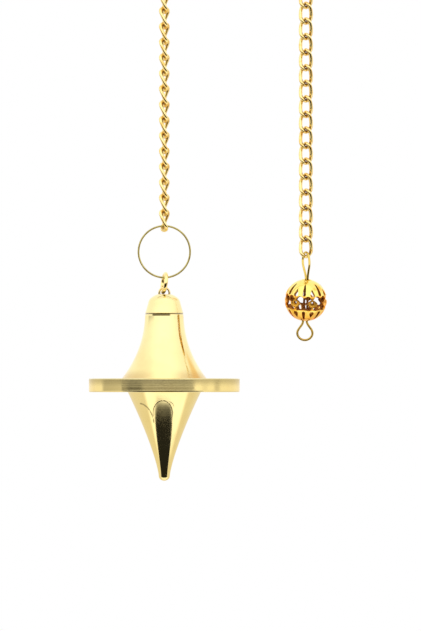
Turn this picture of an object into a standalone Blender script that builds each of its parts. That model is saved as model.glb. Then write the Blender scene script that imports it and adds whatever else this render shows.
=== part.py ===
"""Brass pendulum pendant: a turned disc bob on a curb chain, with a pierced bead at its free end.

The chain hangs over a point at the world origin, the underside of its top bend. Its left run
carries a thin round ring, a jump ring and the bob, and its right run carries the bead. X runs
from the bob's run to the bead's run, Z is up, and the rings and the bob are seen from -Y.
"""

import math

import bmesh
import bpy
from mathutils import Matrix, Vector

MM = 0.001

# Chain
RUN_SPACING = 26.9 * MM
LINK_COUNT = 60
LINK_PITCH = 2.96 * MM
LINK_WIRE = 0.39 * MM
LINK_HALF_WIDTH = 1.0 * MM
LINK_BITE = 0.16 * MM
LINK_TWIST = math.radians(-50)
LINK_TURN_BOB_RUN = math.radians(78)
LINK_TURN_BEAD_RUN = math.radians(8)
LINK_CROWN_STEPS = 4
LINK_SIDES = 5
BEAD_RUN_DROP = 5.0 * MM
BEND_INSIDE = 1.3 * MM

# Rings and the play that hanging pieces keep
PLAY = 0.12 * MM
RING_RADIUS = 4.9 * MM
RING_WIRE = 0.21 * MM
RING_STEPS = 32
RING_SIDES = 6
BAIL_RADIUS = 1.75 * MM
BAIL_WIRE = 0.375 * MM
BAIL_TURN = math.radians(10)
BAIL_LEAN = math.radians(8)
BAIL_STEPS = 18
BAIL_SIDES = 8

# Cap of the bob, turned, with a wire eye soldered into it and a plain spigot below
EYE_RADIUS = 0.85 * MM
EYE_WIRE = 0.25 * MM
EYE_PLAY = 0.15 * MM
EYE_STEPS = 14
EYE_SIDES = 6
CAP_HEIGHT = 3.5 * MM
CAP_HOLLOW_RADIUS = 1.35 * MM
CAP_HOLLOW_DEPTH = 0.15 * MM
CAP_HOLLOW_WALL = 0.1 * MM
CAP_CROWN_RADIUS = 4.0 * MM
CAP_CROWN_MIDDLE = 1.95 * MM
CAP_SHOULDER_RADIUS = 2.55 * MM
CAP_CORNER = 1.43 * MM
CAP_CORNER_DEGREES = (55, 70, 84)
SPIGOT_RADIUS = 1.9 * MM
SPIGOT_LENGTH = 3.0 * MM
SEAM_GAP = 0.15 * MM
SEAM_BEVEL = 0.08 * MM

# Body of the bob, turned in one piece: bell, disc and tapered tip, with a blind chamber
NECK_RADIUS = 3.64 * MM
BELL_HEIGHT = 12.2 * MM
BELL_LEAN = 0.5 * MM
BELL_FLARE = 3.9 * MM
BELL_POWER = 2.2
BELL_STEPS = 9
DISC_RADIUS = 14.33 * MM
DISC_THICKNESS = 2.6 * MM
DISC_BEVEL = 0.18 * MM
TAPER_TOP_RADIUS = 6.95 * MM
TAPER_HEIGHT = 15.9 * MM
TAPER_POWER = 1.3
TAPER_STEPS = 9
TIP_RADIUS = 1.06 * MM
TIP_HEIGHT = 0.95 * MM
TIP_DEGREES = (30, 60, 90)
CHAMBER_RADIUS = 2.2 * MM
CHAMBER_DEPTH = 9.0 * MM
BODY_SEGMENTS = 36
CAP_SEGMENTS = 32

# Pierced bead, its top tipped towards the front and leaning a little from the bob
BEAD_RADIUS = 4.0 * MM
BEAD_WALL = 0.32 * MM
BEAD_HOLE = 0.95 * MM
BEAD_TIP = math.radians(11.5)
BEAD_LEAN = math.radians(2.5)
BEAD_TURN = math.radians(-6.5)
BEAD_SEGMENTS = 14
BEAD_RINGS = 8
BEAD_FACET_TURN = math.radians(4.8)
MOTIFS = 7
CUT_DEPTH = 0.55 * MM

# Bead wire: one closed wire, doubled through the bead, with a loop at each end
BEAD_WIRE = 0.22 * MM
BEAD_WIRE_SIDES = 5
TOP_LOOP_LENGTH = 5.1 * MM
TOP_LOOP_HALF_WIDTH = 1.3 * MM
TOP_LOOP_WIDEST = 0.64
TOP_LOOP_TURN = math.radians(-62)
BOTTOM_LOOP_LENGTH = 3.6 * MM
BOTTOM_LOOP_HALF_WIDTH = 1.44 * MM
BOTTOM_LOOP_WIDEST = 0.62
LOOP_STEPS = 8
STRAND_HALF_GAP = 0.36 * MM
THROUGH_STEPS = 6

BRASS_POLISHED = (0.83, 0.66, 0.33, 1.0)
BRASS_GILT = (0.86, 0.58, 0.18, 1.0)

# Outlines of the bead's openings, in degrees round it and up it from the middle of each, and
# how far up the bead that middle is. The lobed opening has two lobes above, a waist and a wide
# foot below. Half of each outline is listed, from its top down its right side; the slots and
# teardrops of the lower row are the upper ones turned over.
LOBED_HALF = (
    (0, 15), (6.5, 17), (12.5, 20), (18.5, 16.5), (23.5, 10), (12, 2.5), (11.5, -4),
    (22.5, -12.5), (22.5, -18), (17, -20), (0, -18.5),
)
LOBED_UP = 0
EYELET_RADIUS = 4.5
EYELET_SIDES = 6
EYELET_UP = 1.5
SLOT_HALF = ((3.6, 18), (5.2, -16), (2.8, -18.3))
SLOT_UP = 38.5
SLOT_DOWN = -41.5
TEARDROP_HALF = ((0, 15.5), (5.2, 4.5), (7.2, -1), (5, -5.8), (0, -7.6))
TEARDROP_UP = 26
TEARDROP_DOWN = -31.5


def remove_startup_objects():
    for old in list(bpy.data.objects):
        bpy.data.objects.remove(old, do_unlink=True)


def material(name, colour, roughness):
    made = bpy.data.materials.new(name)
    made.use_nodes = True
    shader = made.node_tree.nodes["Principled BSDF"]
    shader.inputs["Base Color"].default_value = colour
    shader.inputs["Metallic"].default_value = 1.0
    shader.inputs["Roughness"].default_value = roughness
    return made


def add_object(name, bm, finish, origin=Vector(), parent=None, faces_out=False):
    """The mesh, given in world places, becomes an object whose origin is on its joint."""
    if not faces_out:
        bmesh.ops.recalc_face_normals(bm, faces=bm.faces)
    bmesh.ops.translate(bm, verts=bm.verts, vec=-origin)
    mesh = bpy.data.meshes.new(name)
    bm.to_mesh(mesh)
    bm.free()
    mesh.materials.append(finish)
    mesh.shade_smooth()
    mesh.set_sharp_from_angle(angle=math.radians(35))
    made = bpy.data.objects.new(name, mesh)
    bpy.context.collection.objects.link(made)
    made.location = origin
    if parent:
        made.parent = parent
        made.matrix_parent_inverse = Matrix.Translation(-world_origin(parent))
    return made


def world_origin(thing):
    """Where an unturned object's origin is, up through its parents."""
    place = thing.location.copy()
    if thing.parent:
        place += thing.matrix_parent_inverse.translation + world_origin(thing.parent)
    return place


def closed_wire(bm, centres, normals, radius, sides):
    """A round wire along a closed line; a normal at each point stands square to the loop."""
    count = len(centres)
    rings = []
    for i, centre in enumerate(centres):
        along = (centres[(i + 1) % count] - centres[i - 1]).normalized()
        outward = along.cross(normals[i]).normalized()
        across = outward.cross(along)
        ring = []
        for k in range(sides):
            angle = 2 * math.pi * k / sides
            offset = outward * (-math.cos(angle)) + across * math.sin(angle)
            ring.append(bm.verts.new(centre + offset * radius))
        rings.append(ring)
    for i in range(count):
        here, there = rings[i], rings[(i + 1) % count]
        for k in range(sides):
            m = (k + 1) % sides
            bm.faces.new((here[k], here[m], there[m], there[k]))


def ring_line(centre, radius, normal, steps):
    """Points and normals of a round ring in the plane square to the normal, from its top."""
    level = Vector((0, 0, 1)).cross(normal).normalized()
    upward = normal.cross(level)
    points = []
    for i in range(steps):
        angle = 2 * math.pi * i / steps
        points.append(centre + radius * (level * math.sin(angle) + upward * math.cos(angle)))
    return points, [normal] * steps


def turned(profile, centre, segments):
    """A solid of revolution from (radius, height) points that start and end on the axis."""
    bm = bmesh.new()
    verts = [bm.verts.new(centre + Vector((radius, 0, height))) for radius, height in profile]
    edges = [bm.edges.new(pair) for pair in zip(verts, verts[1:])]
    bmesh.ops.spin(
        bm, geom=verts + edges, cent=centre, axis=(0, 0, 1), angle=2 * math.pi, steps=segments,
        use_merge=True,
    )
    bmesh.ops.remove_doubles(bm, verts=bm.verts, dist=0.0005 * MM)
    return bm


# Heights of the hanging pieces, from the middle of the wire at the last link's lower end
LINK_HALF_LENGTH = (LINK_PITCH + 2 * LINK_WIRE - LINK_BITE) / 2
ARCH_RADIUS = RUN_SPACING / 2
CHAIN_LENGTH = (LINK_COUNT - 1) * LINK_PITCH
RUNS_LENGTH = CHAIN_LENGTH - math.pi * ARCH_RADIUS
BOB_RUN_LENGTH = (RUNS_LENGTH - BEAD_RUN_DROP) / 2
BEAD_RUN_LENGTH = (RUNS_LENGTH + BEAD_RUN_DROP) / 2
ARCH_CENTRE = BEND_INSIDE - ARCH_RADIUS
HOOK = Vector((-RUN_SPACING / 2, 0, ARCH_CENTRE - BOB_RUN_LENGTH - LINK_HALF_LENGTH))
RING_TOP = HOOK + Vector((0, 0, LINK_WIRE + PLAY + RING_WIRE))
RING_BOTTOM = RING_TOP - Vector((0, 0, 2 * RING_RADIUS))
BAIL_TOP = RING_BOTTOM + Vector((0, 0, RING_WIRE + PLAY + BAIL_WIRE))
BAIL_BOTTOM = BAIL_TOP - Vector((0, 0, 2 * BAIL_RADIUS))
CAP_TOP = BAIL_BOTTOM - Vector((0, 0, BAIL_WIRE + EYE_PLAY))
SEAM = CAP_TOP - Vector((0, 0, CAP_HEIGHT))
BEAD_HOOK = Vector((RUN_SPACING / 2, 0, ARCH_CENTRE - BEAD_RUN_LENGTH - LINK_HALF_LENGTH))
BEAD_WIRE_TOP = BEAD_HOOK + Vector((0, 0, LINK_WIRE + PLAY + BEAD_WIRE))
BEAD_CENTRE = BEAD_WIRE_TOP - Vector((0, 0, TOP_LOOP_LENGTH + BEAD_RADIUS))


def chain_frame(distance):
    """Place, direction and width direction of the link centred so far along the chain."""
    bend = math.pi * ARCH_RADIUS
    if distance < BOB_RUN_LENGTH:
        share = 0.0
        place = Vector((-ARCH_RADIUS, 0, ARCH_CENTRE - BOB_RUN_LENGTH + distance))
    elif distance < BOB_RUN_LENGTH + bend:
        share = (distance - BOB_RUN_LENGTH) / bend
        angle = math.pi * (1 - share)
        place = Vector((math.cos(angle), 0, math.sin(angle))) * ARCH_RADIUS
        place.z += ARCH_CENTRE
    else:
        share = 1.0
        place = Vector((ARCH_RADIUS, 0, ARCH_CENTRE - (distance - BOB_RUN_LENGTH - bend)))
    heading = Vector((math.sin(math.pi * share), 0, math.cos(math.pi * share)))
    eased = share * share * (3 - 2 * share)
    turn = LINK_TURN_BOB_RUN + (LINK_TURN_BEAD_RUN - LINK_TURN_BOB_RUN) * eased
    back = Vector((0, 1, 0))
    width = heading.cross(back) * math.cos(turn) + back * math.sin(turn)
    return place, heading, width


def link_outline():
    """The link's centre line before it is twisted, as (across, along) round its oval."""
    straight = LINK_HALF_LENGTH - LINK_HALF_WIDTH
    points = []
    for end in (1, -1):
        for k in range(LINK_CROWN_STEPS + 1):
            angle = math.pi * k / LINK_CROWN_STEPS
            across = LINK_HALF_WIDTH * math.cos(angle)
            along = straight + LINK_HALF_WIDTH * math.sin(angle)
            points.append((end * across, end * along))
        points.append((-end * LINK_HALF_WIDTH, 0.0))
    return points


def add_link(bm, distance):
    """One curb link: an oval of wire twisted along its length so that neighbours lie flat."""
    place, heading, width = chain_frame(distance)
    facing = heading.cross(width)
    centres, normals = [], []
    for across, along in link_outline():
        twist = LINK_TWIST * along / LINK_HALF_LENGTH
        sideways = width * math.cos(twist) + facing * math.sin(twist)
        centres.append(place + sideways * across + heading * along)
        normals.append(facing * math.cos(twist) - width * math.sin(twist))
    closed_wire(bm, centres, normals, LINK_WIRE, LINK_SIDES)


def make_chain(finish):
    """Every second link in one mesh, united with the links between, which bite into them."""
    halves = []
    for first, name in ((0, "chain"), (1, "chain_links_between")):
        bm = bmesh.new()
        for i in range(first, LINK_COUNT, 2):
            add_link(bm, i * LINK_PITCH)
        halves.append(add_object(name, bm, finish))
    chain, between = halves
    between.hide_render = True
    between.display_type = "WIRE"
    unite = chain.modifiers.new("links", "BOOLEAN")
    unite.operation = "UNION"
    unite.object = between
    return chain


def make_large_ring(finish):
    bm = bmesh.new()
    centre = (RING_TOP + RING_BOTTOM) / 2
    points, normals = ring_line(centre, RING_RADIUS, Vector((0, 1, 0)), RING_STEPS)
    closed_wire(bm, points, normals, RING_WIRE, RING_SIDES)
    return add_object("large_ring", bm, finish, RING_TOP)


def make_bail_ring(finish, parent):
    """The jump ring, seen nearly edge-on, its top leaning a little towards the bead."""
    bm = bmesh.new()
    centre = (BAIL_TOP + BAIL_BOTTOM) / 2
    across = Vector((
        math.cos(BAIL_TURN) * math.cos(BAIL_LEAN),
        math.sin(BAIL_TURN),
        -math.cos(BAIL_TURN) * math.sin(BAIL_LEAN),
    ))
    points, normals = ring_line(centre, BAIL_RADIUS, across, BAIL_STEPS)
    closed_wire(bm, points, normals, BAIL_WIRE, BAIL_SIDES)
    return add_object("bail_ring", bm, finish, RING_BOTTOM, parent)


def crown_height(radius):
    """Height of the cap's domed crown above the floor of the hollow round its eye."""
    rim = math.sqrt(CAP_CROWN_RADIUS ** 2 - CAP_HOLLOW_RADIUS ** 2)
    return CAP_HOLLOW_DEPTH - rim + math.sqrt(CAP_CROWN_RADIUS ** 2 - radius ** 2)


def cap_profile():
    """Hollow, domed crown, rounded corner, leaning side, seam face and spigot, going down."""
    profile = [(0, 0), (CAP_HOLLOW_RADIUS - CAP_HOLLOW_WALL, 0)]
    for radius in (CAP_HOLLOW_RADIUS, CAP_CROWN_MIDDLE, CAP_SHOULDER_RADIUS):
        profile.append((radius, crown_height(radius)))
    start = math.asin(CAP_SHOULDER_RADIUS / CAP_CROWN_RADIUS)
    for degrees in CAP_CORNER_DEGREES:
        angle = math.radians(degrees)
        profile.append((
            CAP_SHOULDER_RADIUS + CAP_CORNER * (math.sin(angle) - math.sin(start)),
            crown_height(CAP_SHOULDER_RADIUS) - CAP_CORNER * (math.cos(start) - math.cos(angle)),
        ))
    profile += [
        (NECK_RADIUS - SEAM_BEVEL / 4, -CAP_HEIGHT + SEAM_BEVEL),
        (NECK_RADIUS - SEAM_BEVEL, -CAP_HEIGHT),
        (SPIGOT_RADIUS, -CAP_HEIGHT),
        (SPIGOT_RADIUS, -CAP_HEIGHT - SPIGOT_LENGTH),
        (0, -CAP_HEIGHT - SPIGOT_LENGTH),
    ]
    return profile


def make_cap(finish, parent):
    """The cap with its spigot, united with the wire eye whose lower half is soldered into it."""
    cap = add_object("cap", turned(cap_profile(), CAP_TOP, CAP_SEGMENTS), finish, BAIL_BOTTOM, parent)
    bm = bmesh.new()
    centre = BAIL_BOTTOM + Vector((0, 0, BAIL_WIRE + PLAY + EYE_WIRE - EYE_RADIUS))
    points, normals = ring_line(centre, EYE_RADIUS, Vector((0, 1, 0)), EYE_STEPS)
    closed_wire(bm, points, normals, EYE_WIRE, EYE_SIDES)
    eye = add_object("cap_eye", bm, finish, BAIL_BOTTOM, parent)
    eye.hide_render = True
    eye.display_type = "WIRE"
    solder = cap.modifiers.new("solder", "BOOLEAN")
    solder.operation = "UNION"
    solder.object = eye
    return cap


def body_profile():
    """Chamber, seam face, bell, disc, taper and blunt tip, measured down from the seam."""
    top = -SEAM_GAP
    profile = [
        (0, top - CHAMBER_DEPTH),
        (CHAMBER_RADIUS, top - CHAMBER_DEPTH),
        (CHAMBER_RADIUS, top),
        (NECK_RADIUS - SEAM_BEVEL, top),
        (NECK_RADIUS, top - SEAM_BEVEL),
    ]
    for i in range(1, BELL_STEPS + 1):
        share = i / BELL_STEPS
        radius = NECK_RADIUS + BELL_LEAN * share + BELL_FLARE * share ** BELL_POWER
        profile.append((radius, top - BELL_HEIGHT * share))
    disc_top = top - BELL_HEIGHT
    disc_bottom = disc_top - DISC_THICKNESS
    profile += [
        (DISC_RADIUS - DISC_BEVEL, disc_top),
        (DISC_RADIUS, disc_top - DISC_BEVEL),
        (DISC_RADIUS, disc_bottom + DISC_BEVEL),
        (DISC_RADIUS - DISC_BEVEL, disc_bottom),
    ]
    for i in range(TAPER_STEPS + 1):
        share = i / TAPER_STEPS
        spread = (TAPER_TOP_RADIUS - TIP_RADIUS) * (1 - share) ** TAPER_POWER
        profile.append((TIP_RADIUS + spread, disc_bottom - TAPER_HEIGHT * share))
    for degrees in TIP_DEGREES:
        angle = math.radians(degrees)
        profile.append((
            TIP_RADIUS * math.cos(angle),
            disc_bottom - TAPER_HEIGHT - TIP_HEIGHT * math.sin(angle),
        ))
    profile[-1] = (0, profile[-1][1])
    return profile


def make_bob_body(finish, parent):
    return add_object("bob_body", turned(body_profile(), SEAM, BODY_SEGMENTS), finish, SEAM, parent)


def bead_stand():
    """How the bead stands: turned on its axis, then tipped to the front and leaned."""
    tipped = Matrix.Rotation(BEAD_LEAN, 3, "Y") @ Matrix.Rotation(BEAD_TIP, 3, "X")
    return tipped @ Matrix.Rotation(BEAD_TURN, 3, "Z")


def bead_direction(round_deg, up_deg):
    """Unit vector from the bead's middle; 0 round is the bead's own front."""
    around = math.radians(round_deg)
    up = math.radians(up_deg)
    level = Vector((math.sin(around), -math.cos(around), 0)) * math.cos(up)
    return bead_stand() @ (level + Vector((0, 0, math.sin(up))))


def bead_shell():
    """A round hollow wall with a hole at each end, as one ring-shaped profile turned round.
    Its facets are turned a little, so that their edges keep clear of the openings' corners."""
    rim = math.acos(BEAD_HOLE / BEAD_RADIUS)
    inner = BEAD_RADIUS - BEAD_WALL
    inner_rim = math.acos(BEAD_HOLE / inner)
    bm = bmesh.new()
    loop = []
    for radius, limit, way in ((BEAD_RADIUS, rim, 1), (inner, inner_rim, -1)):
        for k in range(BEAD_RINGS + 1):
            up = way * limit * (1 - 2 * k / BEAD_RINGS)
            loop.append(bm.verts.new((radius * math.cos(up), 0, radius * math.sin(up))))
    edges = [bm.edges.new((loop[i - 1], loop[i])) for i in range(len(loop))]
    bmesh.ops.spin(
        bm, geom=loop + edges, cent=(0, 0, 0), axis=(0, 0, 1), angle=2 * math.pi,
        steps=BEAD_SEGMENTS, use_merge=True,
    )
    bmesh.ops.remove_doubles(bm, verts=bm.verts, dist=0.0005 * MM)
    facets = Matrix.Rotation(BEAD_FACET_TURN, 4, "Z")
    stand = Matrix.Translation(BEAD_CENTRE) @ bead_stand().to_4x4()
    bmesh.ops.transform(bm, matrix=stand @ facets, verts=bm.verts)
    return bm


def add_opening(bm, outline, round_deg, up_deg):
    """A cutter through the bead's wall, its sides running out from the bead's middle. The
    outline is clockwise as seen from outside, so that the faces point out of the cutter."""
    inner, outer = [], []
    for across, along in outline:
        direction = bead_direction(round_deg + across, up_deg + along)
        inner.append(bm.verts.new(BEAD_CENTRE + direction * (BEAD_RADIUS - CUT_DEPTH)))
        outer.append(bm.verts.new(BEAD_CENTRE + direction * (BEAD_RADIUS + CUT_DEPTH)))
    for i in range(len(outline)):
        bm.faces.new((inner[i], inner[i - 1], outer[i - 1], outer[i]))
    caps = [bm.faces.new(inner), bm.faces.new(reversed(outer))]
    bmesh.ops.triangulate(bm, faces=caps)


def whole(half):
    """Both halves of an outline; a point on its middle line is listed once."""
    other = [(-across, along) for across, along in reversed(half) if across > 0]
    return list(half) + other


def flipped(outline):
    """The outline turned over, listed the other way so that it stays clockwise."""
    return [(across, -along) for across, along in reversed(outline)]


def make_pierced_bead(finish):
    """The bead with lobed openings round it, an eyelet between each two, and two rows of slots."""
    bead = add_object("pierced_bead", bead_shell(), finish, BEAD_CENTRE)
    lobed = whole(LOBED_HALF)
    slot = whole(SLOT_HALF)
    teardrop = whole(TEARDROP_HALF)
    eyelet = []
    for k in range(EYELET_SIDES):
        angle = 2 * math.pi * k / EYELET_SIDES
        eyelet.append((EYELET_RADIUS * math.sin(angle), EYELET_RADIUS * math.cos(angle)))
    bm = bmesh.new()
    step = 360 / MOTIFS
    for k in range(MOTIFS):
        middle = k * step
        between = middle + step / 2
        add_opening(bm, lobed, middle, LOBED_UP)
        add_opening(bm, eyelet, between, EYELET_UP)
        add_opening(bm, slot, middle, SLOT_UP)
        add_opening(bm, teardrop, between, TEARDROP_UP)
        add_opening(bm, flipped(slot), middle, SLOT_DOWN)
        add_opening(bm, flipped(teardrop), between, TEARDROP_DOWN)
    cutter = add_object("bead_openings", bm, finish, faces_out=True)
    cutter.hide_render = True
    cutter.display_type = "WIRE"
    pierce = bead.modifiers.new("pierce", "BOOLEAN")
    pierce.operation = "DIFFERENCE"
    pierce.solver = "MANIFOLD"
    pierce.object = cutter
    return bead


def loop_half_width(share, widest, half_width):
    """Half the width of a loop at a share of its length from the bead to its end."""
    if share < widest:
        eased = 0.5 - 0.5 * math.cos(math.pi * share / widest)
        return STRAND_HALF_GAP + (half_width - STRAND_HALF_GAP) * eased
    return half_width * math.sqrt(max(0.0, 1 - ((share - widest) / (1 - widest)) ** 2))


def bead_wire_strand():
    """(half gap, turn, height) down one strand, from the middle of one end to the other."""
    strand = []
    for k in range(LOOP_STEPS):
        share = math.cos(math.pi / 2 * k / LOOP_STEPS)
        width = loop_half_width(share, TOP_LOOP_WIDEST, TOP_LOOP_HALF_WIDTH)
        strand.append((width, TOP_LOOP_TURN, BEAD_RADIUS + TOP_LOOP_LENGTH * share))
    for k in range(THROUGH_STEPS + 1):
        share = k / THROUGH_STEPS
        height = BEAD_RADIUS * (1 - 2 * share)
        strand.append((STRAND_HALF_GAP, TOP_LOOP_TURN * (1 - share), height))
    for k in range(1, LOOP_STEPS + 1):
        share = math.sin(math.pi / 2 * k / LOOP_STEPS)
        width = loop_half_width(share, BOTTOM_LOOP_WIDEST, BOTTOM_LOOP_HALF_WIDTH)
        strand.append((width, 0.0, -BEAD_RADIUS - BOTTOM_LOOP_LENGTH * share))
    return strand


def bead_wire_middle(height):
    """The middle of the two strands: along the tipped bead's axis, then back to the hook."""
    axis = bead_stand() @ Vector((0, 0, 1))
    pole = BEAD_RADIUS * axis.z
    share = min(max((height - pole) / (BEAD_RADIUS + TOP_LOOP_LENGTH - pole), 0), 1)
    back = 1 - share * share * (3 - 2 * share)
    aside = min(max(height, -pole), pole) / axis.z * back
    return BEAD_CENTRE + Vector((axis.x * aside, axis.y * aside, height))


def make_bead_wire(finish):
    """Both strands joined into one closed line; their plane turns as they pass the bead."""
    bm = bmesh.new()
    strand = bead_wire_strand()
    line = strand + [(-side, turn, height) for side, turn, height in reversed(strand[1:-1])]
    centres, normals = [], []
    for side, turn, height in line:
        across = Vector((math.cos(turn), math.sin(turn), 0))
        centres.append(bead_wire_middle(height) + across * side)
        normals.append(Vector((math.sin(turn), -math.cos(turn), 0)))
    closed_wire(bm, centres, normals, BEAD_WIRE, BEAD_WIRE_SIDES)
    return add_object("bead_wire", bm, finish, BEAD_WIRE_TOP)


def main():
    remove_startup_objects()
    polished = material("polished brass", BRASS_POLISHED, 0.14)
    gilt = material("gilt wire", BRASS_GILT, 0.22)
    make_chain(gilt)
    ring = make_large_ring(gilt)
    bail = make_bail_ring(gilt, ring)
    cap = make_cap(polished, bail)
    make_bob_body(polished, cap)
    make_pierced_bead(gilt)
    make_bead_wire(gilt)


main()
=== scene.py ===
"""Looks of the brass pendulum pendant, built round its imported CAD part.

The pendant is put together from the chain down: the chain, the two rings, the bob's cap and
body, then the bead on its wire. The floor, lights and camera come last.
"""

import math

import bmesh
import bpy
from mathutils import Matrix, Vector


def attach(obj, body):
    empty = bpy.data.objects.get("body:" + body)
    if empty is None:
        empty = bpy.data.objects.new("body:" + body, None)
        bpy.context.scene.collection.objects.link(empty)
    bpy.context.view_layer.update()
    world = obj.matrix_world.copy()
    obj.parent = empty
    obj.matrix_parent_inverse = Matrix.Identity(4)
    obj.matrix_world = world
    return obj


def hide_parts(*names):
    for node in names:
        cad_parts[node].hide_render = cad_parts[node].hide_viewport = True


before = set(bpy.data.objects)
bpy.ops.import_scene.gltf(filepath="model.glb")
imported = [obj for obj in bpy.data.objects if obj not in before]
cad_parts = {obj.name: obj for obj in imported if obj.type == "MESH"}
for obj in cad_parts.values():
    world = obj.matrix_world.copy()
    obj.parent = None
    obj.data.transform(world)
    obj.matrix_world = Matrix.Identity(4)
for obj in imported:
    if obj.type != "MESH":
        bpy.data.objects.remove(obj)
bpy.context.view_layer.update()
MM = 0.001

# Chain: sixty curb links of round gilt brass wire. Each is an oval loop twisted so that the
# links lie flat on each other, soldered shut and hooked through the next. It hangs in two runs
# over the point at the origin, edge-on at the bob's run and flat at the bead's run.
LINK_PITCH = 2.96 * MM
LINK_WIRE = 0.355 * MM
LINK_HALF_WIDTH = 1.0 * MM
LINK_HALF_LENGTH = 1.88 * MM
LINK_TWIST = math.radians(-50)
LINK_COUNT = 60
LINK_STRAIGHT_CUTS = 7
HOOK_EDGE = 0.2
LINK_TURN_BOB_RUN = math.radians(78)
LINK_TURN_BEAD_RUN = math.radians(8)
RUN_HALF_SPACING = 13.45 * MM
BEND_MIDDLE = -12.15 * MM
BOB_RUN_LENGTH = 63.693 * MM
SAME_PLACE = 0.001 * MM


def pick(kind, wanted):
    """Selects the edges or the faces of the mesh in hand whose middle passes a test."""
    bpy.ops.mesh.select_mode(type=kind)
    bpy.ops.mesh.select_all(action="DESELECT")
    shape = bmesh.from_edit_mesh(bpy.context.active_object.data)
    for part in shape.edges if kind == "EDGE" else shape.faces:
        middle = sum((vert.co for vert in part.verts), Vector()) / len(part.verts)
        part.select = wanted(part, middle)
    shape.select_flush_mode()
    bmesh.update_edit_mesh(bpy.context.active_object.data)


def hold(thing):
    """Takes one object in hand and lays all others down."""
    bpy.ops.object.select_all(action="DESELECT")
    thing.select_set(True)
    bpy.context.view_layer.objects.active = thing


def join(things):
    """Makes one object of several."""
    bpy.ops.object.select_all(action="DESELECT")
    for thing in things:
        thing.select_set(True)
    bpy.context.view_layer.objects.active = things[0]
    bpy.ops.object.join()
    return things[0]


def settle(thing, name, smooth_degrees=35):
    """Names a piece, leaves its place in its mesh, and rounds its shading."""
    hold(thing)
    thing.name = name
    thing.data.name = name
    bpy.ops.object.transform_apply(location=True, rotation=True, scale=True)
    bpy.ops.object.shade_smooth_by_angle(angle=math.radians(smooth_degrees))


def wire_ring(centre, radius, wire, steps, sides, turn=(math.pi / 2, 0, 0)):
    """A round ring of round wire, which faces the front where no other turn is given."""
    bpy.ops.object.select_all(action="DESELECT")
    bpy.ops.mesh.primitive_torus_add(
        location=centre, rotation=turn, major_segments=steps, minor_segments=sides,
        major_radius=radius, minor_radius=wire,
    )
    ring = bpy.context.active_object
    bpy.ops.object.transform_apply(location=True, rotation=True, scale=True)
    return ring


def ease(share):
    """From 0 to 1 as the share does, with a soft start and end."""
    return share * share * (3 - 2 * share)


# One link: a ring cut through at its middle, its halves drawn apart and joined by straight
# strands. The inner side of each hook is marked for the finish, and the whole is twisted.
link = wire_ring((0, 0, 0), LINK_HALF_WIDTH, LINK_WIRE, steps=32, sides=12)
bpy.ops.object.mode_set(mode="EDIT")
pick("EDGE", lambda edge, middle: all(abs(vert.co.z) < SAME_PLACE for vert in edge.verts))
bpy.ops.mesh.edge_split(type="EDGE")
straight = LINK_HALF_LENGTH - LINK_HALF_WIDTH
for end in (1, -1):
    pick("FACE", lambda face, middle: middle.z * end > 0)
    bpy.ops.transform.translate(value=(0, 0, end * straight))
for side in (1, -1):
    pick("EDGE", lambda edge, middle: edge.is_boundary and middle.x * side > 0)
    bpy.ops.mesh.bridge_edge_loops(number_cuts=LINK_STRAIGHT_CUTS)
bpy.ops.object.mode_set(mode="OBJECT")
hooks = link.data.attributes.new("hook", "FLOAT", "POINT")
for hook, vert in zip(hooks.data, link.data.vertices):
    past_end = abs(vert.co.z) - straight
    from_end = math.hypot(vert.co.x, past_end)
    hook.value = float(past_end > 0 and from_end < LINK_HALF_WIDTH - LINK_WIRE * HOOK_EDGE)
twist = link.modifiers.new("twist", "SIMPLE_DEFORM")
twist.deform_method = "TWIST"
twist.deform_axis = "Z"
twist.angle = LINK_TWIST * 2 * (LINK_HALF_LENGTH + LINK_WIRE) / LINK_HALF_LENGTH
bpy.ops.object.modifier_apply(modifier=twist.name)

# The links follow a line up the bob's run, round the bend and down the bead's run, and turn
# from edge-on to flat within the bend.
links = []
bend_length = math.pi * RUN_HALF_SPACING
for number in range(LINK_COUNT):
    into_bend = number * LINK_PITCH - BOB_RUN_LENGTH
    share = min(max(into_bend / bend_length, 0), 1)
    angle = math.pi * share
    below_bend = max(-into_bend, 0) + max(into_bend - bend_length, 0)
    place = Vector((
        -RUN_HALF_SPACING * math.cos(angle), 0,
        BEND_MIDDLE + RUN_HALF_SPACING * math.sin(angle) - below_bend,
    ))
    turn = LINK_TURN_BOB_RUN + (LINK_TURN_BEAD_RUN - LINK_TURN_BOB_RUN) * ease(share)
    stand = Matrix.Rotation(angle, 4, "Y") @ Matrix.Rotation(math.pi + turn, 4, "Z")
    copy = link.copy()
    copy.data = link.data.copy()
    copy.data.transform(Matrix.Translation(place) @ stand)
    bpy.context.collection.objects.link(copy)
    links.append(copy)
bpy.data.objects.remove(link)
chain = join(links)
settle(chain, "curb_chain")


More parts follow.
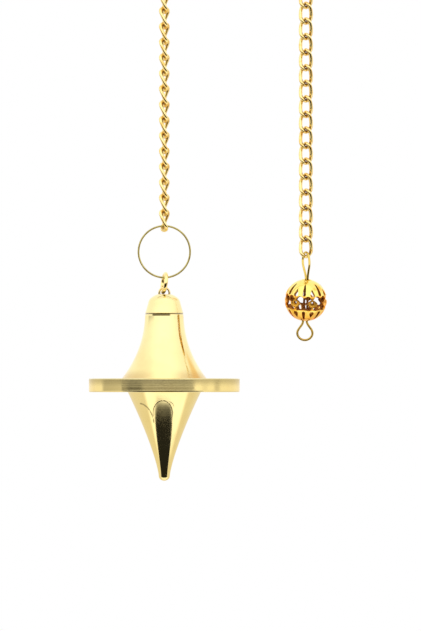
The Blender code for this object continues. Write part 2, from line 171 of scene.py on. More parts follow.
class Shade:
    """Wraps a socket of a finish or of the room's light, so that they read as sums; operators
    add Math nodes."""

    def __init__(self, socket):
        self.socket = socket

    def node(self, kind, settings=None, values=None, output=0):
        """Adds a node of any kind beside this one and gives one of its outputs."""
        tree = self.socket.id_data
        made = tree.nodes.new(kind)
        for name, setting in (settings or {}).items():
            setattr(made, name, setting)
        for name, value in (values or {}).items():
            if isinstance(value, Shade):
                tree.links.new(value.socket, made.inputs[name])
            else:
                made.inputs[name].default_value = value
        return Shade(made.outputs[output])

    def math(self, operation, *values):
        return self.node("ShaderNodeMath", {"operation": operation}, dict(enumerate(values)))

    def vector_math(self, operation, *values, output=0):
        return self.node(
            "ShaderNodeVectorMath", {"operation": operation}, dict(enumerate(values)), output,
        )

    def __add__(self, other):
        return self.math("ADD", self, other)

    __radd__ = __add__

    def __sub__(self, other):
        return self.math("SUBTRACT", self, other)

    def __rsub__(self, other):
        return self.math("SUBTRACT", other, self)

    def __mul__(self, other):
        return self.math("MULTIPLY", self, other)

    __rmul__ = __mul__

    def __truediv__(self, other):
        return self.math("DIVIDE", self, other)

    def __pow__(self, other):
        return self.math("POWER", self, other)

    def root(self):
        return self.math("SQRT", self)

    def size(self):
        return self.math("ABSOLUTE", self)

    def rise(self, low, high):
        """0 below low, 1 above high, smoothly between."""
        return self.node(
            "ShaderNodeMapRange", {"interpolation_type": "SMOOTHSTEP"},
            {"Value": self, "From Min": low, "From Max": high},
        )

    def split(self):
        """X, Y and Z of a vector."""
        made = self.node("ShaderNodeSeparateXYZ", None, {0: self})
        return [Shade(output) for output in made.socket.node.outputs]

    def speckle(self, scale, detail=3.0, stretch=(1, 1, 1)):
        """Noise from 0 to 1 in spots of about 1/scale metres, stretched along the axes."""
        spread = self.vector_math("MULTIPLY", self, stretch)
        values = {"Vector": spread, "Scale": scale, "Detail": detail}
        return self.node("ShaderNodeTexNoise", None, values)

    def tint(self, low_colour, high_colour):
        """The first colour where this is 0, the second where it is 1."""
        return self.node(
            "ShaderNodeMix", {"data_type": "RGBA"},
            {0: self, 6: low_colour, 7: high_colour}, output=2,
        )

    def relief(self, depth):
        """A normal for a surface this deep in metres where this is 1."""
        values = {"Height": self, "Distance": depth, "Strength": 1.0}
        return self.node("ShaderNodeBump", None, values)


def new_finish(name):
    """A metal finish: its name, its shader, and the place on the piece that patterns read."""
    finish = bpy.data.materials.new(name)
    finish.use_nodes = True
    metal = finish.node_tree.nodes["Principled BSDF"]
    metal.inputs["Metallic"].default_value = 1.0
    place = Shade(finish.node_tree.nodes.new("ShaderNodeTexCoord").outputs["Object"])
    return finish, metal, place


def feed(metal, socket, shade):
    metal.id_data.links.new(shade.socket, metal.inputs[socket])


GILT_BRIGHT = (0.98, 0.79, 0.35, 1)
GILT_WORN = (0.88, 0.58, 0.16, 1)
# This brown also paints the shade where the links cross.
GILT_SOILED_AND_SHADED = (0.40, 0.22, 0.04, 1)
HOOK_SOIL_AND_SHADE = 0.85
WEAR_SPOTS = 900
WEAR_STARTS = 0.62
WEAR_FULL = 0.85
GRAIN_SPOTS = 5000
GRAIN_DETAIL = 2.0
GILT_GRAIN_DEPTH = 0.006 * MM


def rubbed(place, worn_share):
    """Patches where the gilt is worn, wider as the share grows."""
    return place.speckle(WEAR_SPOTS).rise(WEAR_STARTS - worn_share, WEAR_FULL - worn_share)


def gilt(name, roughness, worn_share):
    """Bright gilt, redder where it is worn, and brown inside the links' hooks as dirt and painted
    shade.
    """
    finish, metal, place = new_finish(name)
    worn = rubbed(place, worn_share)
    in_hook = place.node("ShaderNodeAttribute", {"attribute_name": "hook"}, output=2)
    # Inside each hook the gilt is browned: dirt where the links rub, and painted shade where they
    # cross.
    soiled_and_shaded = in_hook * HOOK_SOIL_AND_SHADE
    feed(metal, "Base Color", soiled_and_shaded.tint(worn.tint(GILT_BRIGHT, GILT_WORN), GILT_SOILED_AND_SHADED))
    grain = place.speckle(GRAIN_SPOTS, GRAIN_DETAIL)
    feed(metal, "Roughness", grain * 0.08 + worn * 0.06 + soiled_and_shaded * 0.2 + roughness)
    feed(metal, "Normal", grain.relief(GILT_GRAIN_DEPTH))
    return finish


chain.data.materials.clear()
chain.data.materials.append(gilt("gilt_chain", roughness=0.1, worn_share=0.16))
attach(chain, "root")
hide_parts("chain")

# Large ring: thin round brass wire bent to a circle, hooked through the chain's last link. It
# is duller and greener than the gilt pieces.
RING_CENTRE = Vector((-13.45, 0, -81.813)) * MM
RING_RADIUS = 4.9 * MM
RING_WIRE = 0.18 * MM
RING_BRIGHT = (0.58, 0.49, 0.17, 1)
RING_DULL = (0.42, 0.34, 0.12, 1)
RING_CLOUDS = 600
RING_ROUGHNESS = 0.2
RING_GRAIN_DEPTH = 0.004 * MM

large_ring = wire_ring(RING_CENTRE, RING_RADIUS, RING_WIRE, steps=144, sides=12)
settle(large_ring, "thin_ring")
ring_finish, ring_metal, ring_place = new_finish("dull_ring")
ring_cloud = ring_place.speckle(RING_CLOUDS)
ring_grain = ring_place.speckle(GRAIN_SPOTS, GRAIN_DETAIL)
feed(ring_metal, "Base Color", ring_cloud.rise(0.35, 0.7).tint(RING_BRIGHT, RING_DULL))
feed(ring_metal, "Roughness", ring_cloud * 0.15 + RING_ROUGHNESS)
feed(ring_metal, "Normal", ring_grain.relief(RING_GRAIN_DEPTH))
large_ring.data.materials.append(ring_finish)
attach(large_ring, "ring")
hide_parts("large_ring")

# Jump ring: short thick gilt ring between the large ring and the cap's eye, seen nearly
# edge-on and leaning a little.
BAIL_CENTRE = Vector((-13.45, 0, -87.758)) * MM
BAIL_RADIUS = 1.75 * MM
BAIL_WIRE = 0.375 * MM
BAIL_TURN = math.radians(10)
BAIL_LEAN = math.radians(8)

facing = Vector((
    math.cos(BAIL_TURN) * math.cos(BAIL_LEAN),
    math.sin(BAIL_TURN),
    -math.cos(BAIL_TURN) * math.sin(BAIL_LEAN),
))
bail = wire_ring(
    BAIL_CENTRE, BAIL_RADIUS, BAIL_WIRE, steps=72, sides=16,
    turn=facing.to_track_quat("Z", "Y").to_euler(),
)
settle(bail, "jump_ring")
bail.data.materials.append(gilt("gilt_jump_ring", roughness=0.07, worn_share=0.05))
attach(bail, "bail")
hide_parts("bail_ring")

# Cap of the bob: turned from pale brass bar and polished, a dome with a rounded corner and a
# side that leans out to the seam. A wire eye is soldered into a shallow hollow in its crown,
# and a plain spigot below, which nobody sees, holds it in the body.
CAP_TOP = -90.033 * MM
BOB_AXIS_X = -13.45 * MM
CAP_HEIGHT = 3.5 * MM
HOLLOW_FLOOR = 1.25 * MM
HOLLOW_RADIUS = 1.35 * MM
HOLLOW_DEPTH = 0.15 * MM
HOLLOW_LIP = 0.03 * MM
CROWN_RADIUS = 4.0 * MM
CROWN_EDGE = 0.05 * MM
CROWN_STEPS = 10
SHOULDER_RADIUS = 2.55 * MM
CAP_CORNER = 1.43 * MM
CAP_CORNER_STEPS = 8
CAP_SIDE_ANGLE = math.radians(84)
NECK_RADIUS = 3.64 * MM
SEAM_BEVEL = 0.08 * MM
SEAM_LIP = 0.04 * MM
SPIGOT_RADIUS = 1.9 * MM
SPIGOT_LENGTH = 3.0 * MM
EYE_CENTRE = Vector((-13.45, 0, -89.613)) * MM
EYE_RADIUS = 0.97 * MM
EYE_WIRE = 0.2 * MM
MERGE_WITHIN = 0.0005 * MM


def turn_on_lathe(profile, steps):
    """Spins (radius, height) points, which start and end on the bob's axis, into a solid. The
    first point is a small plane drawn in to its middle, and the others are extruded from it."""
    bpy.ops.object.select_all(action="DESELECT")
    start = Vector((BOB_AXIS_X + profile[0][0], 0, profile[0][1]))
    bpy.ops.mesh.primitive_plane_add(size=MM, location=start)
    bpy.ops.object.transform_apply(location=True, rotation=True, scale=True)
    bpy.ops.object.mode_set(mode="EDIT")
    bpy.ops.mesh.select_mode(type="VERT")
    bpy.ops.mesh.select_all(action="SELECT")
    bpy.ops.mesh.merge(type="CENTER")
    for here, there in zip(profile, profile[1:]):
        move = (there[0] - here[0], 0, there[1] - here[1])
        bpy.ops.mesh.extrude_vertices_move(TRANSFORM_OT_translate={"value": move})
    bpy.ops.mesh.select_all(action="SELECT")
    bpy.ops.mesh.spin(
        steps=steps, angle=2 * math.pi, center=(BOB_AXIS_X, 0, 0), axis=(0, 0, 1),
    )
    bpy.ops.mesh.select_all(action="SELECT")
    bpy.ops.mesh.remove_doubles(threshold=MERGE_WITHIN)
    bpy.ops.mesh.normals_make_consistent(inside=False)
    bpy.ops.object.mode_set(mode="OBJECT")
    return bpy.context.active_object


crown_base = CAP_TOP + HOLLOW_DEPTH - math.sqrt(CROWN_RADIUS ** 2 - HOLLOW_RADIUS ** 2)
cap_profile = [
    (0, CAP_TOP), (HOLLOW_FLOOR / 2, CAP_TOP), (HOLLOW_FLOOR, CAP_TOP),
    (HOLLOW_RADIUS - HOLLOW_LIP, CAP_TOP + HOLLOW_DEPTH * 0.8),
]
for step in range(CROWN_STEPS + 1):
    radius = HOLLOW_RADIUS + CROWN_EDGE
    radius += (SHOULDER_RADIUS - radius) * step / CROWN_STEPS
    cap_profile.append((radius, crown_base + math.sqrt(CROWN_RADIUS ** 2 - radius ** 2)))
shoulder_height = cap_profile[-1][1]
shoulder_angle = math.asin(SHOULDER_RADIUS / CROWN_RADIUS)
for step in range(1, CAP_CORNER_STEPS + 1):
    angle = shoulder_angle + (CAP_SIDE_ANGLE - shoulder_angle) * step / CAP_CORNER_STEPS
    cap_profile.append((
        SHOULDER_RADIUS + CAP_CORNER * (math.sin(angle) - math.sin(shoulder_angle)),
        shoulder_height - CAP_CORNER * (math.cos(shoulder_angle) - math.cos(angle)),
    ))
cap_profile += [
    (NECK_RADIUS - SEAM_BEVEL / 4, CAP_TOP - CAP_HEIGHT + SEAM_BEVEL),
    (NECK_RADIUS - SEAM_BEVEL, CAP_TOP - CAP_HEIGHT - SEAM_LIP),
    (SPIGOT_RADIUS, CAP_TOP - CAP_HEIGHT - SEAM_LIP),
    (SPIGOT_RADIUS, CAP_TOP - CAP_HEIGHT - SPIGOT_LENGTH),
    (0, CAP_TOP - CAP_HEIGHT - SPIGOT_LENGTH),
]
cap = turn_on_lathe(cap_profile, steps=128)
eye = wire_ring(EYE_CENTRE, EYE_RADIUS, EYE_WIRE, steps=56, sides=14)
hold(cap)
solder = cap.modifiers.new("solder", "BOOLEAN")
solder.operation = "UNION"
solder.object = eye
bpy.ops.object.modifier_apply(modifier=solder.name)
bpy.data.objects.remove(eye)
settle(cap, "screw_cap")

BRASS_POLISHED = (0.92, 0.77, 0.34, 1)
# The tarnished brown and the near-black below also paint shade on the bob.
BRASS_TARNISH_AND_SHADE = (0.74, 0.54, 0.24, 1)
BRASS_RUBBED = (0.94, 0.82, 0.42, 1)
BRASS_SOILED_AND_SHADED = (0.10, 0.07, 0.025, 1)
BRASS_ROUGHNESS = 0.05

# The next five are about how many marks of each kind there are to a metre of brass.
TURNING_LINES = 2500
POLISH_WAVES = 160
HAIR_SCRATCHES = 700
LATHE_GROOVES = 16000
CAP_PATCHES = 330

POLISH_DEPTH = 0.012 * MM
CAP_GRIME_HEIGHT = 0.12 * MM
EYE_SHOWS_FROM = 0.1 * MM
EYE_CLEAN_FROM = 0.25 * MM


def bob_place(place):
    """Across from the bob's axis, distance from it, way round it from the front, height."""
    x, y, z = place.split()
    across = x - BOB_AXIS_X
    radius = (across * across + y * y).root()
    around = across.math("ARCTAN2", across, 0 - y)
    return across, radius, around, z


def polish(place, metal, tarnish_and_shade, soil_and_shade, turned):
    """The buffed surface: turning lines, hair scratches and waves in the polish, tarnished and
    dirtied where those are 1, which also carry painted shade, and left unbuffed off the lathe
    where turned is 1."""
    lines = place.speckle(TURNING_LINES, 2.0, (0.02, 0.02, 1))
    waves = place.speckle(POLISH_WAVES, 1.0)
    hairs = place.speckle(HAIR_SCRATCHES, 4.0, (1, 1, 0.12))
    grooves = place.speckle(LATHE_GROOVES, 1.0, (0.001, 0.001, 1))
    # Tarnished patches and dirt darken the brass here, and so does the painted shade passed in
    # with them.
    colour = tarnish_and_shade.tint(waves.tint(BRASS_RUBBED, BRASS_POLISHED), BRASS_TARNISH_AND_SHADE)
    feed(metal, "Base Color", soil_and_shade.tint(colour, BRASS_SOILED_AND_SHADED))
    feed(metal, "Roughness", hairs * 0.05 + tarnish_and_shade * 0.14 + soil_and_shade * 0.35 + BRASS_ROUGHNESS)
    height = lines * 0.10 + waves * 0.5 + hairs * 0.08 - soil_and_shade * 0.5 + grooves * turned * 0.5
    feed(metal, "Normal", height.relief(POLISH_DEPTH))


cap_finish, cap_metal, cap_place = new_finish("polished_cap")
_, cap_radius, _, cap_z = bob_place(cap_place)
cap_grime = 1 - (cap_z - (CAP_TOP - CAP_HEIGHT)).rise(0.0, CAP_GRIME_HEIGHT)
# Round the eye's foot the hollow is tarnished as patina, and painted near black off the eye as
# shade.
in_hollow = 1 - cap_radius.rise(HOLLOW_FLOOR, HOLLOW_RADIUS)
on_eye = cap_z.rise(CAP_TOP + EYE_SHOWS_FROM, CAP_TOP + EYE_CLEAN_FROM)
cap_patches = cap_place.speckle(CAP_PATCHES).rise(0.42, 0.75)
polish(
    cap_place, cap_metal,
    tarnish_and_shade=cap_grime * 0.5 + in_hollow * 0.4 + cap_patches * 0.25,
    soil_and_shade=cap_grime * 0.6 + in_hollow * (1 - on_eye) * 0.8,
    turned=0.0,
)
cap.data.materials.append(cap_finish)
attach(cap, "cap")
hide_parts("cap")

# Body of the bob: bell, disc and taper turned from one brass bar. The bell flares to the
# disc, whose flat rim keeps its turning lines, and the taper is buffed to a blunt tip. A blind
# chamber under the cap takes its spigot.
SEAM = -93.533 * MM
SEAM_GAP = 0.15 * MM
BELL_HEIGHT = 12.2 * MM
BELL_LEAN = 0.5 * MM
BELL_FLARE = 3.9 * MM
BELL_POWER = 2.2
BELL_STEPS = 44
DISC_RADIUS = 14.33 * MM
DISC_THICKNESS = 2.6 * MM
DISC_BEVEL = 0.18 * MM
RIM_EASE = 0.08 * MM
TAPER_TOP_RADIUS = 6.95 * MM
TAPER_HEIGHT = 15.9 * MM
TAPER_POWER = 1.3
TAPER_STEPS = 48
TIP_RADIUS = 1.06 * MM
TIP_HEIGHT = 0.95 * MM
TIP_STEP = 10
CHAMBER_RADIUS = 2.2 * MM
CHAMBER_DEPTH = 9.0 * MM

body_top = SEAM - SEAM_GAP
disc_top = body_top - BELL_HEIGHT
disc_bottom = disc_top - DISC_THICKNESS
body_profile = [
    (0, body_top - CHAMBER_DEPTH),
    (CHAMBER_RADIUS, body_top - CHAMBER_DEPTH),
    (CHAMBER_RADIUS, body_top + SEAM_LIP),
    (NECK_RADIUS - SEAM_BEVEL, body_top + SEAM_LIP),
    (NECK_RADIUS - SEAM_BEVEL * 0.2, body_top - SEAM_BEVEL * 0.4),
    (NECK_RADIUS, body_top - SEAM_BEVEL),
]
for step in range(1, BELL_STEPS + 1):
    share = step / BELL_STEPS
    radius = NECK_RADIUS + BELL_LEAN * share + BELL_FLARE * share ** BELL_POWER
    body_profile.append((radius, body_top - SEAM_BEVEL - (BELL_HEIGHT - SEAM_BEVEL) * share))
body_profile += [
    (DISC_RADIUS - DISC_BEVEL, disc_top),
    (DISC_RADIUS - DISC_BEVEL * 0.3, disc_top - DISC_BEVEL * 0.3),
    (DISC_RADIUS, disc_top - DISC_BEVEL),
    (DISC_RADIUS, disc_top - DISC_BEVEL - RIM_EASE),
    (DISC_RADIUS, disc_bottom + DISC_BEVEL + RIM_EASE),
    (DISC_RADIUS, disc_bottom + DISC_BEVEL),
    (DISC_RADIUS - DISC_BEVEL * 0.3, disc_bottom + DISC_BEVEL * 0.3),
    (DISC_RADIUS - DISC_BEVEL, disc_bottom),
]
for step in range(TAPER_STEPS + 1):
    share = step / TAPER_STEPS
    spread = (TAPER_TOP_RADIUS - TIP_RADIUS) * (1 - share) ** TAPER_POWER
    body_profile.append((TIP_RADIUS + spread, disc_bottom - TAPER_HEIGHT * share))
for degrees in range(TIP_STEP, 90 + TIP_STEP, TIP_STEP):
    angle = math.radians(degrees)
    body_profile.append((
        TIP_RADIUS * math.cos(angle), disc_bottom - TAPER_HEIGHT - TIP_HEIGHT * math.sin(angle),
    ))
body_profile[-1] = (0, body_profile[-1][1])
body = turn_on_lathe(body_profile, steps=160)
settle(body, "bob_turning", smooth_degrees=28)

SCRATCH_BREAKS = 2200
SCRATCH_LINE = 0.015
SCRATCH_FADE = 0.05
SEAM_GRIME_HEIGHT = 0.1 * MM
SEAM_LINE_BELOW = 0.15 * MM
# How far the painted shade at the bell's foot stays full, and how far it reaches.
FOOT_SHADE_FULL = 0.3 * MM
FOOT_SHADE_REACH = 2.0 * MM
RIM_EDGE = 0.1 * MM
# How far down from the rim's top edge the painted shade reaches.
RIM_SHADE_REACH = 1.8 * MM
BODY_PATCHES = 260

body_finish, body_metal, body_place = new_finish("polished_bob")
across, from_axis, around, height = bob_place(body_place)
broken = body_place.speckle(SCRATCH_BREAKS).rise(0.3, 0.5)


def scratch(middle, half_width, half_height, leftmost, lowest):
    """A fine scratch on the taper's front, in mm: part of an oval line about its middle,
    which is (across, height), without what is left of leftmost and below lowest."""
    aside = (across - middle[0] * MM) / (half_width * MM)
    above = (height - middle[1] * MM) / (half_height * MM)
    oval = (aside * aside + above * above).root()
    line = 1 - (oval - 1).size().rise(SCRATCH_LINE, SCRATCH_FADE)
    here = (across - leftmost * MM).rise(0, 0.2 * MM) * (height - lowest * MM).rise(0, 0.3 * MM)
    return line * here * broken * (1 - around.size().rise(1.3, 1.5))


over_reflection = scratch(
    middle=(-0.25, -112.46), half_width=1.85, half_height=2.4, leftmost=-2.2, lowest=-113.2,
)
left_of_it = scratch(
    middle=(-4.9, -115.0), half_width=3.0, half_height=4.4, leftmost=-4.7, lowest=-114.4,
)
right_of_it = scratch(
    middle=(1.0, -111.6), half_width=0.9, half_height=1.3, leftmost=0.9, lowest=-111.5,
)
scratches = over_reflection + left_of_it * 0.6 + right_of_it * 0.7
seam_grime = height.rise(body_top - SEAM_GRIME_HEIGHT, body_top)
# A dark line just below the seam, drawn on the front of the bob only.
seam_line = 1 - (height - body_top + SEAM_LINE_BELOW).size().rise(0.14 * MM, 0.24 * MM)
seam_line = seam_line * (1 - (around + 0.17).size().rise(0.42, 0.56))
# Painted shade in the corner where the bell meets the disc, on the bob's sides only.
foot_shade = 1 - (height - disc_top).size().rise(FOOT_SHADE_FULL, FOOT_SHADE_REACH)
foot_shade = foot_shade * (1 - from_axis.rise(9 * MM, 12 * MM)) * around.size().rise(0.1, 0.6)
rim = from_axis.rise(DISC_RADIUS - RIM_EDGE, DISC_RADIUS - RIM_EDGE * 0.2)
# Painted shade: the disc's rim drawn darker towards its top edge.
rim_top_shade = rim * (height - disc_top).rise(-RIM_SHADE_REACH, -0.3 * MM)
body_patches = body_place.speckle(BODY_PATCHES).rise(0.45, 0.75)
polish(
    body_place, body_metal,
    tarnish_and_shade=seam_grime * 0.5 + foot_shade * 0.8 + body_patches * 0.2,
    soil_and_shade=seam_grime * 0.4 + seam_line * 0.85 + scratches + rim_top_shade * 0.4,
    turned=rim,
)
body.data.materials.append(body_finish)
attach(body, "bob")
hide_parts("bob_body")

# Pierced bead: a round hollow bead of thin gilt sheet, with seven lobed openings round its
# middle, a dished panel with an eyelet between each two, and rows of slots and drops above and
# below. It hangs tipped to the front on its wire, and its inside is painted dark as shade.
# Outlines of its openings are in degrees over the bead, across and up, and only their right
# halves are given.
BEAD_CENTRE = Vector((13.45, 0, -91.003)) * MM
BEAD_RADIUS = 4.0 * MM
BEAD_WALL = 0.6 * MM
BEAD_HOLE = 0.95 * MM
BEAD_TIP = math.radians(11.5)
BEAD_LEAN = math.radians(2.5)
BEAD_TURN = math.radians(-6.5)
MOTIFS = 7
DISH_FLOOR = 7
DISH_EDGE = 13
DISH_DEPTH = 0.13 * MM
PUNCH_RADIUS = 3.05 * MM
PUNCH_GROWTH = 1.55
LOBED_HALF = (
    (0, 15.5), (5, 17), (9, 19.8), (13, 20.4), (17, 18.5), (21, 14.5), (24.3, 10.4),
    (17.5, 6.2), (12.6, 2), (11, -2.5), (13.2, -6.5), (18.3, -9.5), (23.6, -12.6),
    (24.2, -16), (22.5, -19.2), (18, -20.6), (8, -19.4), (0, -18.4),
)
SLOT_HALF = (
    (0, 19), (2.4, 17.5), (3.8, 12), (5.0, -6), (5.4, -14), (3.4, -17.8), (0, -19),
)
DROP_HALF = (
    (0, 15.5), (2.6, 10), (5.5, 4), (7.4, -1.5), (6.2, -5.2), (3.6, -7.2), (0, -7.8),
)
EYELET_HALF = (
    (0, 4.5), (2.25, 3.9), (3.9, 2.25), (4.5, 0), (3.9, -2.25), (2.25, -3.9), (0, -4.5),
)
EYELET_UP = 1.5


def bead_direction(motif, across, up):
    """Where a spot on the bead lies from its middle: degrees across a motif and up from it."""
    around = math.radians(motif * 360 / MOTIFS + across)
    rising = math.radians(up)
    level = Vector((math.sin(around), -math.cos(around), 0)) * math.cos(rising)
    return level + Vector((0, 0, math.sin(rising)))


bpy.ops.object.select_all(action="DESELECT")
bpy.ops.mesh.primitive_uv_sphere_add(segments=196, ring_count=98, radius=BEAD_RADIUS)
bead = bpy.context.active_object
bpy.ops.object.mode_set(mode="EDIT")
pick("FACE", lambda face, middle: math.hypot(middle.x, middle.y) < BEAD_HOLE)
bpy.ops.mesh.delete(type="FACE")
bpy.ops.object.mode_set(mode="OBJECT")
dished = bead.vertex_groups.new(name="dished")
panels = [bead_direction(motif + 0.5, 0, EYELET_UP) for motif in range(MOTIFS)]
for vert in bead.data.vertices:
    apart = math.degrees(min(vert.co.angle(panel) for panel in panels))
    share = min(max((DISH_EDGE - apart) / (DISH_EDGE - DISH_FLOOR), 0), 1)
    dished.add([vert.index], ease(share), "REPLACE")
dish = bead.modifiers.new("dish", "DISPLACE")
dish.strength = -DISH_DEPTH
dish.mid_level = 0
dish.vertex_group = dished.name
bpy.ops.object.modifier_apply(modifier=dish.name)
wall = bead.modifiers.new("wall", "SOLIDIFY")
wall.thickness = BEAD_WALL
wall.offset = -1
bpy.ops.object.modifier_apply(modifier=wall.name)

# Each row of openings: half its outline, how far it stands from a motif's middle in motifs,
# the height of its middle in degrees, and -1 where it is upside down.
punches = []
rows = (
    (LOBED_HALF, 0, 0, 1), (EYELET_HALF, 0.5, EYELET_UP, 1), (SLOT_HALF, 0, 38.5, 1),
    (DROP_HALF, 0.5, 26, 1), (SLOT_HALF, 0, -41.5, -1), (DROP_HALF, 0.5, -31.5, -1),
)
for half, offset, middle, way in rows:
    outline = list(half) + [(-aside, up) for aside, up in reversed(half[1:-1])]
    for motif in range(MOTIFS):
        bpy.ops.object.select_all(action="DESELECT")
        bpy.ops.mesh.primitive_circle_add(vertices=len(outline), radius=MM, fill_type="NGON")
        punch = bpy.context.active_object
        for vert, (aside, up) in zip(punch.data.vertices, outline):
            vert.co = bead_direction(motif + offset, aside, middle + way * up) * PUNCH_RADIUS
        bpy.ops.object.mode_set(mode="EDIT")
        bpy.ops.mesh.select_all(action="SELECT")
        bpy.ops.mesh.quads_convert_to_tris()
        bpy.ops.mesh.extrude_region_move()
        bpy.ops.transform.resize(value=(PUNCH_GROWTH,) * 3, center_override=(0, 0, 0))
        bpy.ops.mesh.select_all(action="SELECT")
        bpy.ops.mesh.normals_make_consistent(inside=False)
        bpy.ops.object.mode_set(mode="OBJECT")
        punches.append(punch)
punch = join(punches)
hold(bead)
pierce = bead.modifiers.new("pierce", "BOOLEAN")
pierce.operation = "DIFFERENCE"
pierce.solver = "MANIFOLD"
pierce.object = punch
bpy.ops.object.modifier_apply(modifier=pierce.name)
bpy.data.objects.remove(punch)
bead_tipped = Matrix.Rotation(BEAD_LEAN, 4, "Y") @ Matrix.Rotation(BEAD_TIP, 4, "X")
bead_stand = bead_tipped @ Matrix.Rotation(BEAD_TURN, 4, "Z")
bead_axis = bead_stand.to_3x3() @ Vector((0, 0, 1))
bead.data.transform(Matrix.Translation(BEAD_CENTRE) @ bead_stand)
settle(bead, "filigree_bead", smooth_degrees=30)

# The inside colour paints the shade within the bead's wall.
BEAD_INSIDE_SHADE = (0.48, 0.20, 0.04, 1)
BEAD_BRIGHT = (1.0, 0.80, 0.22, 1)
# The worn colour also paints a warm reflection on the bead's lower half.
BEAD_WORN_AND_WARM_LIT = (1.0, 0.52, 0.07, 1)
BEAD_ROUGHNESS = 0.07
OUTER_SKIN = 0.2 * MM
DARK_WITHIN = 0.35 * MM
PANEL_BAND = 1.2 * MM
PANEL_BAND_EDGE = 1.5 * MM
# Where along the bead's axis the painted warm reflection ends, and where it is full.
WARM_LIT_NONE_ABOVE = -0.6 * MM
WARM_LIT_FULL_BELOW = -3.2 * MM


def gilt_outside_bead(name, worn_share, bright, worn_and_warm_lit):
    """Bright gilt outside the bead: duller and redder on the band of dished panels, redder lower
    down as a painted warm reflection, and painted dark brown as shade within the wall."""
    finish, metal, place = new_finish(name)
    distance = place.vector_math("DISTANCE", place, BEAD_CENTRE, output=1)
    # Painted shade: within the wall the bead is drawn dark brown.
    inside = 1 - distance.rise(BEAD_RADIUS - DARK_WITHIN, BEAD_RADIUS - OUTER_SKIN)
    from_centre = place.vector_math("SUBTRACT", place, BEAD_CENTRE)
    along = from_centre.vector_math("DOT_PRODUCT", from_centre, bead_axis, output=1)
    band = 1 - along.size().rise(PANEL_BAND, PANEL_BAND_EDGE)
    # Painted warm reflection: redder towards the lower end of the bead's axis.
    below = 1 - along.rise(WARM_LIT_FULL_BELOW, WARM_LIT_NONE_ABOVE)
    # The worn mask carries rubbed wear, the painted warm reflection and the band of panels.
    worn = rubbed(place, worn_share) + below * 0.9 + band
    feed(metal, "Base Color", inside.tint(worn.tint(bright, worn_and_warm_lit), BEAD_INSIDE_SHADE))
    grain = place.speckle(GRAIN_SPOTS, GRAIN_DETAIL)
    roughness = grain * 0.08 + worn * 0.05 + inside * 0.3 + band * 0.22 + BEAD_ROUGHNESS
    feed(metal, "Roughness", roughness)
    feed(metal, "Normal", grain.relief(GILT_GRAIN_DEPTH))
    return finish


bead.data.materials.clear()
bead.data.materials.append(gilt_outside_bead("gilt_bead", 0.1, BEAD_BRIGHT, BEAD_WORN_AND_WARM_LIT))
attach(bead, "root")
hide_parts("pierced_bead")

# Bead wire: one gilt wire bent double through the bead, a long loop above it hooked in the
# chain's last link and a round loop below it, its ends soldered out of sight in the bead.
BEAD_WIRE = 0.22 * MM
TOP_LOOP_LENGTH = 5.1 * MM
TOP_LOOP_HALF_WIDTH = 1.3 * MM
TOP_LOOP_WIDEST = 0.64
TOP_LOOP_TURN = math.radians(-62)
BOTTOM_LOOP_LENGTH = 3.6 * MM
BOTTOM_LOOP_HALF_WIDTH = 1.44 * MM
BOTTOM_LOOP_WIDEST = 0.62
STRAND_HALF_GAP = 0.36 * MM
LOOP_STEPS = 22
WIRE_BRIGHT = (0.74, 0.55, 0.14, 1)
# The dull colour also paints the warm reflection on the wire's lower loop.
WIRE_DULL_AND_WARM_LIT = (0.52, 0.35, 0.07, 1)


def loop_half_width(share, widest, half_width):
    """Half the width of a loop at a share of its length from the bead to its end."""
    if share < widest:
        eased = 0.5 - 0.5 * math.cos(math.pi * share / widest)
        return STRAND_HALF_GAP + (half_width - STRAND_HALF_GAP) * eased
    return half_width * math.sqrt(max(0.0, 1 - ((share - widest) / (1 - widest)) ** 2))


def strands_middle(height):
    """The middle of the two strands: along the tipped bead's axis, then back to the hook."""
    pole = BEAD_RADIUS * bead_axis.z
    share = min(max((height - pole) / (BEAD_RADIUS + TOP_LOOP_LENGTH - pole), 0), 1)
    aside = min(max(height, -pole), pole) / bead_axis.z * (1 - ease(share))
    return BEAD_CENTRE + Vector((bead_axis.x * aside, bead_axis.y * aside, height))


# One strand as (half the gap, turn, height above the middle), from the top of the top loop
# down to the foot of the bottom loop. The other strand is its mirror image, back up.
strand = []
for step in range(LOOP_STEPS):
    share = math.cos(math.pi / 2 * step / LOOP_STEPS)
    half = loop_half_width(share, TOP_LOOP_WIDEST, TOP_LOOP_HALF_WIDTH)
    strand.append((half, TOP_LOOP_TURN, BEAD_RADIUS + TOP_LOOP_LENGTH * share))
for step in range(LOOP_STEPS + 1):
    share = step / LOOP_STEPS
    strand.append((STRAND_HALF_GAP, TOP_LOOP_TURN * (1 - share), BEAD_RADIUS * (1 - 2 * share)))
for step in range(1, LOOP_STEPS + 1):
    share = math.sin(math.pi / 2 * step / LOOP_STEPS)
    half = loop_half_width(share, BOTTOM_LOOP_WIDEST, BOTTOM_LOOP_HALF_WIDTH)
    strand.append((half, 0.0, -BEAD_RADIUS - BOTTOM_LOOP_LENGTH * share))
line = strand + [(-half, turn, height) for half, turn, height in reversed(strand[1:-1])]
bent = bpy.data.curves.new("bead_wire", "CURVE")
bent.dimensions = "3D"
bent.bevel_depth = BEAD_WIRE
bent.bevel_resolution = 3
route = bent.splines.new("POLY")
route.points.add(len(line) - 1)
for point, (half, turn, height) in zip(route.points, line):
    spot = strands_middle(height) + Vector((math.cos(turn), math.sin(turn), 0)) * half
    point.co = (*spot, 1)
route.use_cyclic_u = True
bead_wire = bpy.data.objects.new("bead_wire_loops", bent)
bpy.context.collection.objects.link(bead_wire)
hold(bead_wire)
bpy.ops.object.convert(target="MESH")
bead_wire = bpy.context.active_object
settle(bead_wire, "bead_wire_loops")
bead_wire.data.materials.append(gilt_outside_bead("gilt_bead_wire", 0.12, WIRE_BRIGHT, WIRE_DULL_AND_WARM_LIT))
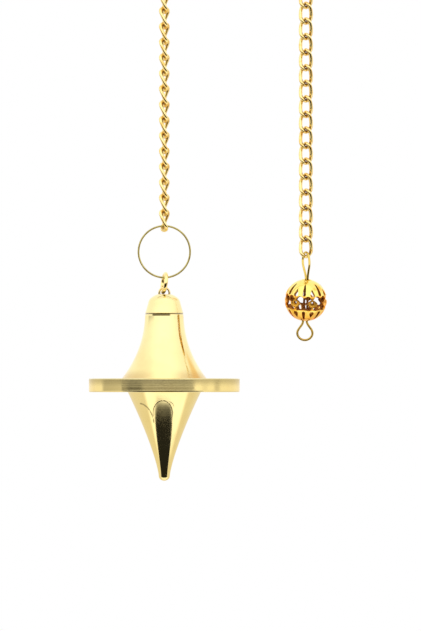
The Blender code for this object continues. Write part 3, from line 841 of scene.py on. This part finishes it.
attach(bead_wire, "root")
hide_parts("bead_wire")

# Studio: a pale floor well below the pendant, a white room round it that is dark only behind
# the camera, and a long lens level with the disc.
FLOOR_HEIGHT = -0.45
FLOOR_RADIUS = 0.2
FLOOR_COLOUR = (0.95, 0.90, 0.80, 1)
FLOOR_ROUGHNESS = 0.7
CAMERA_DISTANCE = 1.2
SENSOR_WIDTH = 36
PICTURE_HEIGHT = 119.9 * MM
PICTURE_CENTRE = Vector((-4.67, 0, -93.93)) * MM
DISC_MIDDLE = -107.2 * MM
DARK_MIDDLE = -2
DARK_HALF_WIDTH = 66
DARK_CUT = 17
DARK_SIDES_DOWN_TO = -20
DARK_FOOT_DEPTH = 29.9
DARK_ROUNDING = 2.5
DARK_GLOW = 0.02
UPPER_GLOW = 1.38
LOWER_GLOW = 0.88
WHITE_LIGHT = (1, 1, 1, 1)
WARM_LIGHT = (1, 0.91, 0.75, 1)
AMBER_LIGHT = (0.92, 0.70, 0.45, 1)

bpy.ops.object.select_all(action="DESELECT")
bpy.ops.mesh.primitive_circle_add(
    vertices=96, radius=FLOOR_RADIUS, fill_type="NGON", location=(0, 0, FLOOR_HEIGHT),
)
floor = bpy.context.active_object
floor.name = "floor"
pale = bpy.data.materials.new("pale_floor")
pale.use_nodes = True
pale_surface = pale.node_tree.nodes["Principled BSDF"]
pale_surface.inputs["Base Color"].default_value = FLOOR_COLOUR
pale_surface.inputs["Roughness"].default_value = FLOOR_ROUGHNESS
floor.data.materials.append(pale)

room = bpy.data.worlds.new("white_room")
bpy.context.scene.world = room
room.use_nodes = True
room_light = room.node_tree.nodes["Background"]
ray = Shade(room.node_tree.nodes.new("ShaderNodeTexCoord").outputs["Generated"])
east, north, up = ray.split()
azimuth = east.math("ARCTAN2", east, 0 - north) * math.degrees(1)
elevation = up.math("ARCSINE", up) * math.degrees(1)


def strip(shade, middle, flat, edge):
    """1 within flat of the middle, down to 0 at edge from it."""
    return 1 - (shade - middle).size().rise(flat, edge)


# Places in the room are in degrees round from the camera's side, to the right, and up from
# level. The dark front is the unlit side behind the camera: below level, rounded at its foot
# and narrower at its upper right.
dark_half_width = DARK_HALF_WIDTH - azimuth.rise(-5, 5) * elevation.rise(-15, -2) * DARK_CUT
below_sides = DARK_SIDES_DOWN_TO - elevation
dark_depth = below_sides.math("MAXIMUM", below_sides, 0.0) / DARK_FOOT_DEPTH
dark_aside = (azimuth - DARK_MIDDLE).size() / dark_half_width
dark_outline = dark_aside ** DARK_ROUNDING + dark_depth ** DARK_ROUNDING
dark_front = (1 - dark_outline.rise(0.96, 1.03)) * (1 - elevation.rise(1, 5.5))
level_strip = strip(elevation, 0, 3, 10)
in_front = DARK_GLOW + elevation.rise(-12, 0) * 0.3
in_front = in_front + (1 - elevation.rise(-49.4, -47.6)) * 0.10
in_front = in_front + level_strip * azimuth.rise(30, 44) * 0.08
in_front = in_front - level_strip * strip(azimuth, -46, 8, 17) * 0.2

# Round it the room is lit, brightest above and beside the foot of the dark front, with three
# duller strips at the level that the disc's rim reflects.
upper = UPPER_GLOW - azimuth.size().rise(20, 110) * 0.27
beside = strip(azimuth, 8, 78, 96) * (1 - elevation.rise(-38, -24))
lower = LOWER_GLOW + beside * 0.48
level_dim = strip(azimuth, -86, 18, 27) * 0.45 + strip(azimuth, 89, 3, 8) * 0.3
level_dim = level_dim + strip(azimuth, 65, 2, 8) * 0.15
around_it = lower + (upper - lower) * elevation.rise(-8, 5) - level_dim * level_strip
glow = around_it + (in_front - around_it) * dark_front
amber_patch = strip(azimuth, 126, 5, 20) * strip(elevation, 40, 8, 20)
light_tint = (elevation.rise(0, 6) + beside * 0.7).tint(WARM_LIGHT, WHITE_LIGHT)
seen = Shade(room.node_tree.nodes.new("ShaderNodeLightPath").outputs["Is Camera Ray"])
colour = seen.tint(amber_patch.tint(light_tint, AMBER_LIGHT), WHITE_LIGHT)
brightness = seen + (1 - seen) * glow
room.node_tree.links.new(colour.socket, room_light.inputs["Color"])
room.node_tree.links.new(brightness.socket, room_light.inputs["Strength"])

eye_place = Vector((PICTURE_CENTRE.x, -CAMERA_DISTANCE, DISC_MIDDLE))
lens = bpy.data.cameras.new("camera")
lens.sensor_width = SENSOR_WIDTH
lens.lens = SENSOR_WIDTH * CAMERA_DISTANCE / PICTURE_HEIGHT
camera = bpy.data.objects.new("camera", lens)
bpy.context.collection.objects.link(camera)
camera.location = eye_place
camera.rotation_euler = (PICTURE_CENTRE - eye_place).to_track_quat("-Z", "Y").to_euler()
bpy.context.scene.camera = camera
bpy.context.scene.view_settings.view_transform = "Standard"
